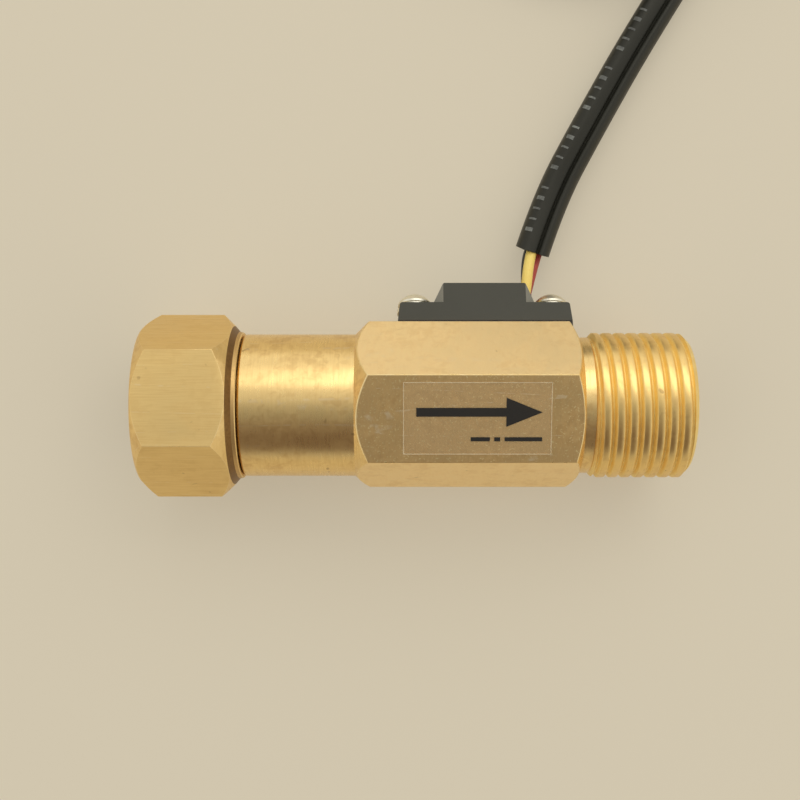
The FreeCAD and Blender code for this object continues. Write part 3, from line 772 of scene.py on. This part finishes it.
# %% Shared effects
def effect(name, detail, distortion):
    """A noise on object coordinates, with a stretch and a size, as a group with one value out."""
    group = bpy.data.node_groups.new(name, "ShaderNodeTree")
    stretch = group.interface.new_socket("Stretch", in_out="INPUT", socket_type="NodeSocketVector")
    stretch.default_value = (1, 1, 1)
    size = group.interface.new_socket("Per metre", in_out="INPUT", socket_type="NodeSocketFloat")
    size.default_value = 1000
    group.interface.new_socket("Value", in_out="OUTPUT", socket_type="NodeSocketFloat")
    enter = group.nodes.new("NodeGroupInput")
    leave = group.nodes.new("NodeGroupOutput")
    where = group.nodes.new("ShaderNodeTexCoord")
    mapping = group.nodes.new("ShaderNodeMapping")
    noise = group.nodes.new("ShaderNodeTexNoise")
    noise.inputs["Detail"].default_value = detail
    noise.inputs["Distortion"].default_value = distortion
    group.links.new(where.outputs["Object"], mapping.inputs["Vector"])
    group.links.new(enter.outputs["Stretch"], mapping.inputs["Scale"])
    group.links.new(mapping.outputs["Vector"], noise.inputs["Vector"])
    group.links.new(enter.outputs["Per metre"], noise.inputs["Scale"])
    group.links.new(noise.outputs["Fac"], leave.inputs["Value"])
    return group


fine_grain = effect("fine_grain", 4, 0.0)
blotches = effect("blotches", 3, 0.6)
specks = effect("specks", 1, 0.3)
scratches = effect("scratches", 0, 0.5)


def add_effect(material, group, stretch, per_metre):
    node = material.node_tree.nodes.new("ShaderNodeGroup")
    node.node_tree = group
    node.inputs["Stretch"].default_value = stretch
    node.inputs["Per metre"].default_value = per_metre
    return node.outputs["Value"]


def ranged(material, value, low, high, out_low, out_high):
    node = material.node_tree.nodes.new("ShaderNodeMapRange")
    for name, number in (("From Min", low), ("From Max", high), ("To Min", out_low), ("To Max", out_high)):
        node.inputs[name].default_value = number
    material.node_tree.links.new(value, node.inputs["Value"])
    return node.outputs["Result"]


def calculated(material, operation, first, second):
    node = material.node_tree.nodes.new("ShaderNodeMath")
    node.operation = operation
    for socket, value in zip(node.inputs, (first, second)):
        if isinstance(value, (int, float)):
            socket.default_value = value
        else:
            material.node_tree.links.new(value, socket)
    return node.outputs[0]


def mixed(material, factor, first, second):
    """A colour between two, each a plain colour or a socket."""
    node = material.node_tree.nodes.new("ShaderNodeMix")
    node.data_type = "RGBA"
    material.node_tree.links.new(factor, node.inputs["Factor"])
    for name, value in (("A", first), ("B", second)):
        if isinstance(value, tuple):
            node.inputs[name].default_value = (*value, 1)
        else:
            material.node_tree.links.new(value, node.inputs[name])
    return node.outputs["Result"]


def new_material(name, metal):
    material = bpy.data.materials.new(name)
    material.use_nodes = True
    shader = material.node_tree.nodes["Principled BSDF"]
    shader.inputs["Metallic"].default_value = metal
    return material, shader


def relief_from(material, height, strength, depth):
    relief = material.node_tree.nodes.new("ShaderNodeBump")
    relief.inputs["Strength"].default_value = strength
    relief.inputs["Distance"].default_value = depth * MM
    material.node_tree.links.new(height, relief.inputs["Height"])
    return relief.outputs["Normal"]


# %% A plain finish
grain_depth, patch_size = 0.02, 90


def finish(name, colour, other, rough, metal=0.0, grain=2500, bump=0.05):
    """Two colours in blotches and grain, a range of roughness, and a bump from the grain."""
    material, shader = new_material(name, metal)
    links = material.node_tree.links
    grains = add_effect(material, fine_grain, (1, 1, 1), grain)
    patches = add_effect(material, blotches, (1, 1, 1), patch_size)
    both = calculated(material, "MULTIPLY", grains, patches)
    tint = mixed(material, ranged(material, both, 0.15, 0.4, 0, 1), other, colour)
    links.new(tint, shader.inputs["Base Color"])
    links.new(ranged(material, grains, 0.3, 0.7, *rough), shader.inputs["Roughness"])
    links.new(relief_from(material, grains, bump, grain_depth), shader.inputs["Normal"])
    return material


# %% [markdown]
# ## Brass
# The brass has been machined, then handled and stored, so it is bright with brown traces. The tool's lines
# are a grain stretched along the cut. Tarnish gathers in blotches, and a scratch shows pale where it cuts
# through the tarnish. The specks are pits and dirt, but on the etched flat with the film they are bright.

# %% Worn brass
scratch_pale = (0.98, 0.80, 0.50)
line_depth = 0.012


def worn_brass(
    name, colour, tarnish, rough, lines, per_metre, line_bump, line_tint=0.2, blotch=0.4, speck=0.5,
    speck_size=700, speck_from=0.74, speck_colour=(0.30, 0.18, 0.07), scratch=0.4,
):
    """Brass with tool lines. line_tint, blotch, speck and scratch say how much each shows, from 0 to 1."""
    material, shader = new_material(name, 1.0)
    links = material.node_tree.links
    drawn = add_effect(material, fine_grain, lines, per_metre)
    clouds = add_effect(material, blotches, (1, 1.2, 1.2), 210)
    mottle = add_effect(material, blotches, (1, 1, 1), 900)
    dots = add_effect(material, specks, (1, 1, 1), speck_size)
    cuts = add_effect(material, scratches, (14, 330, 330), 1)
    both = calculated(material, "MULTIPLY", clouds, mottle)
    stained = ranged(material, both, 0.24, 0.38, 0, blotch)
    toned = mixed(material, stained, colour, tarnish)
    lined = mixed(material, ranged(material, drawn, 0.42, 0.68, 0, line_tint), toned, tarnish)
    spotted = ranged(material, dots, speck_from, speck_from + 0.06, 0, speck)
    dirty = mixed(material, spotted, lined, speck_colour)
    near_cut = calculated(material, "ABSOLUTE", calculated(material, "SUBTRACT", cuts, 0.5), 0)
    thin = ranged(material, near_cut, 0.0, 0.018, scratch, 0)
    scored = calculated(material, "MULTIPLY", thin, ranged(material, mottle, 0.48, 0.62, 0, 1))
    links.new(mixed(material, scored, dirty, scratch_pale), shader.inputs["Base Color"])
    grained = ranged(material, drawn, 0.3, 0.7, *rough)
    dulled = calculated(material, "ADD", grained, ranged(material, clouds, 0.4, 0.7, 0, 0.08))
    links.new(dulled, shader.inputs["Roughness"])
    links.new(relief_from(material, drawn, line_bump, line_depth), shader.inputs["Normal"])
    return material


# %% Brass finishes
brass = (0.92, 0.66, 0.28)
tarnish = (0.66, 0.42, 0.16)
turned_lines = (14, 1, 1)
turned_brass = worn_brass("turned_brass", brass, tarnish, (0.24, 0.33), turned_lines, 330, 0.2, 0.22, 0.5)
edge_brass = finish("edge_brass", (0.98, 0.78, 0.42), brass, (0.26, 0.36), 1.0, grain=900, bump=0.02)
flat_brass = worn_brass(
    "flat_brass", (1.0, 0.77, 0.41), (0.88, 0.64, 0.31), (0.48, 0.56), (4, 1, 1), 600, 0.08, 0.15, 0.5,
    speck=0.45, speck_size=900, speck_from=0.78,
)
thread_brass = worn_brass(
    "thread_brass", (0.92, 0.65, 0.25), (0.60, 0.36, 0.13), (0.28, 0.36), (6, 1, 1), 300, 0.06, 0.08, 0.3,
    speck=0.5, speck_from=0.76, scratch=0,
)
valley_brass = finish("valley_brass", (1.0, 0.80, 0.36), (0.95, 0.70, 0.27), (0.48, 0.58), 1.0, grain=900)
# painted shade: the narrow groove behind the nut's flats is dark brown to stand for its shadow
groove_painted_shade = finish("groove_painted_shade", (0.30, 0.17, 0.06), (0.20, 0.11, 0.04), (0.35, 0.5), 1.0)
bore_brass = finish("bore_brass", (0.6, 0.40, 0.16), tarnish, (0.4, 0.5), 1.0)
label_brass = worn_brass(
    "label_brass", (0.82, 0.57, 0.25), (0.60, 0.38, 0.15), (0.30, 0.44), (5, 1, 1), 900, 0.25, 0.35, 0.45,
    speck=0.7, speck_size=3800, speck_from=0.63, speck_colour=(1.0, 0.82, 0.42), scratch=0.8,
)
nut_brass = worn_brass(
    "nut_brass", (0.88, 0.63, 0.26), (0.74, 0.50, 0.19), (0.36, 0.46), (1, 22, 22), 260, 0.12, 0.4, 0.25,
    speck=0.35,
)
nut_turned = worn_brass("nut_turned", brass, tarnish, (0.28, 0.4), turned_lines, 330, 0.15)
body_finishes = [turned_brass, edge_brass, flat_brass, thread_brass, bore_brass, label_brass, valley_brass]
nut_finishes = [nut_turned, edge_brass, nut_brass, bore_brass, groove_painted_shade]
for piece, finishes in ((body, body_finishes), (nut, nut_finishes)):
    for material in finishes:
        piece.data.materials.append(material)
    print(piece.name, "has", len(finishes), "finishes")

# %% Plastics, rubber and steel
def set_input(material, name, value):
    material.node_tree.nodes["Principled BSDF"].inputs[name].default_value = value


matt_grain = {"grain": 5000, "bump": 0.1}
black_plastic = finish(
    "black_plastic", (0.052, 0.050, 0.033), (0.047, 0.045, 0.029), (0.5, 0.62), **matt_grain,
)
# painted light: a paler copy of the black plastic for the facets that catch the window
facet_painted_light = finish("facet_painted_light", (0.27, 0.26, 0.21), (0.23, 0.22, 0.18), (0.4, 0.55), **matt_grain)
sleeve_rubber = finish("sleeve_rubber", (0.011, 0.011, 0.007), (0.008, 0.008, 0.005), (0.38, 0.5), grain=1500)
set_input(sleeve_rubber, "Specular Tint", (1, 0.97, 0.84, 1))
sleeve_print = finish("sleeve_print", (0.24, 0.25, 0.22), (0.09, 0.09, 0.08), (0.45, 0.6), grain=2500)
ink = finish("ink", (0.014, 0.012, 0.009), (0.022, 0.018, 0.013), (0.35, 0.5))
yellow_soft = finish("yellow_soft", (1.0, 0.77, 0.20), (0.98, 0.70, 0.16), (0.4, 0.55))
red_soft = finish("red_soft", (0.50, 0.07, 0.045), (0.42, 0.05, 0.035), (0.4, 0.55))
black_soft = finish("black_soft", (0.02, 0.02, 0.02), (0.03, 0.03, 0.03), (0.35, 0.5))
white_plastic = finish("white_plastic", (0.78, 0.77, 0.72), (0.72, 0.71, 0.66), (0.3, 0.45))
blue_plastic = finish("blue_plastic", (0.06, 0.16, 0.42), (0.05, 0.13, 0.36), (0.3, 0.45))
plug_plastic = finish("plug_plastic", (0.74, 0.71, 0.62), (0.68, 0.65, 0.56), (0.35, 0.5))
screw_steel = finish("screw_steel", (0.88, 0.84, 0.70), (0.76, 0.71, 0.57), (0.34, 0.44), 1.0)
shaft_steel = finish("shaft_steel", (0.70, 0.69, 0.66), (0.60, 0.58, 0.55), (0.16, 0.25), 1.0)
spring_steel = finish("spring_steel", (0.55, 0.55, 0.54), (0.45, 0.45, 0.44), (0.25, 0.4), 1.0)
seal_rubber = finish("seal_rubber", (0.012, 0.010, 0.007), (0.018, 0.014, 0.010), (0.6, 0.8))
ceramic = finish("ceramic", (0.55, 0.12, 0.14), (0.48, 0.10, 0.12), (0.15, 0.25))
magnet_coat = finish("magnet_coat", (0.06, 0.06, 0.065), (0.05, 0.05, 0.05), (0.45, 0.6))
board_green = finish("board_green", (0.02, 0.13, 0.05), (0.015, 0.10, 0.04), (0.3, 0.45))
chip_black = finish("chip_black", (0.02, 0.02, 0.02), (0.03, 0.03, 0.03), (0.4, 0.55))
resin_black = finish("resin_black", (0.02, 0.02, 0.018), (0.03, 0.03, 0.025), (0.15, 0.3))
tinned = finish("tinned", (0.62, 0.60, 0.55), (0.55, 0.53, 0.48), (0.25, 0.4), 1.0)
film_clear = finish("film_clear", (0.86, 0.70, 0.42), (0.80, 0.64, 0.38), (0.3, 0.45))
set_input(film_clear, "Alpha", 0.08)
# painted highlight: the pale frame stands for the light that the film's cut edge catches
film_rim_painted_glint = finish("film_rim_painted_glint", (0.98, 0.84, 0.56), (0.80, 0.64, 0.38), (0.3, 0.45))
set_input(film_rim_painted_glint, "Alpha", 0.5)

# %% Give each piece its finish
given = {
    "nut_retaining_ring": spring_steel, "inlet_gasket": seal_rubber, "flow_straightener": white_plastic,
    "inlet_bearing": ceramic, "turbine_rotor": blue_plastic, "rotor_magnet": magnet_coat,
    "rotor_shaft": shaft_steel, "outlet_bearing": ceramic, "rotor_support": white_plastic,
    "cartridge_clip": spring_steel, "housing_gasket": seal_rubber, "circuit_board": board_green,
    "hall_sensor": chip_black, "potting": resin_black, "flat_washers": screw_steel,
    "spring_washers": screw_steel, "housing_screws": screw_steel, "plug_contacts": tinned,
}
for node, material in given.items():
    for material_slot in frame["nodes"][node].material_slots:
        material_slot.material = material
for piece, material in (
    (sleeve, sleeve_rubber), (sleeve_marks, sleeve_print), (yellow_lead, yellow_soft), (red_lead, red_soft),
    (black_lead, black_soft), (housing, black_plastic), (plug, plug_plastic), (clear_film, film_clear),
    (film_edge, film_rim_painted_glint), (flow_print, ink),
):
    piece.data.materials.clear()
    piece.data.materials.append(material)
print("nodes that keep their own mesh:", len(given))

# %% [markdown]
# The sloping facets at the ends of the housing's hump catch the window and look paler than its broad face.
# That light is painted, with a paler copy of the black plastic. They are found by their size and by where
# they face.

# %% Pale facets of the housing
# the facets' paler finish is painted light, not a colour of the plastic
housing.data.materials.append(facet_painted_light)
towards_near_side = Vector((0, 0.34, 0.94))
smallest_facet = 0.3 * MM * MM
facets = 0
for face in housing.data.polygons:
    seen = face.area > smallest_facet and face.normal.dot(towards_near_side) > 0.2
    if seen and 0.3 < abs(face.normal.x) < 0.95:
        face.material_index = 1
        facets += 1
print("pale facets:", facets)

# %% [markdown]
# ## Finish the scene
# The view transform stays plain, so that a colour shows about as it is written.

# %% View transform
bpy.context.scene.view_settings.view_transform = "Standard"
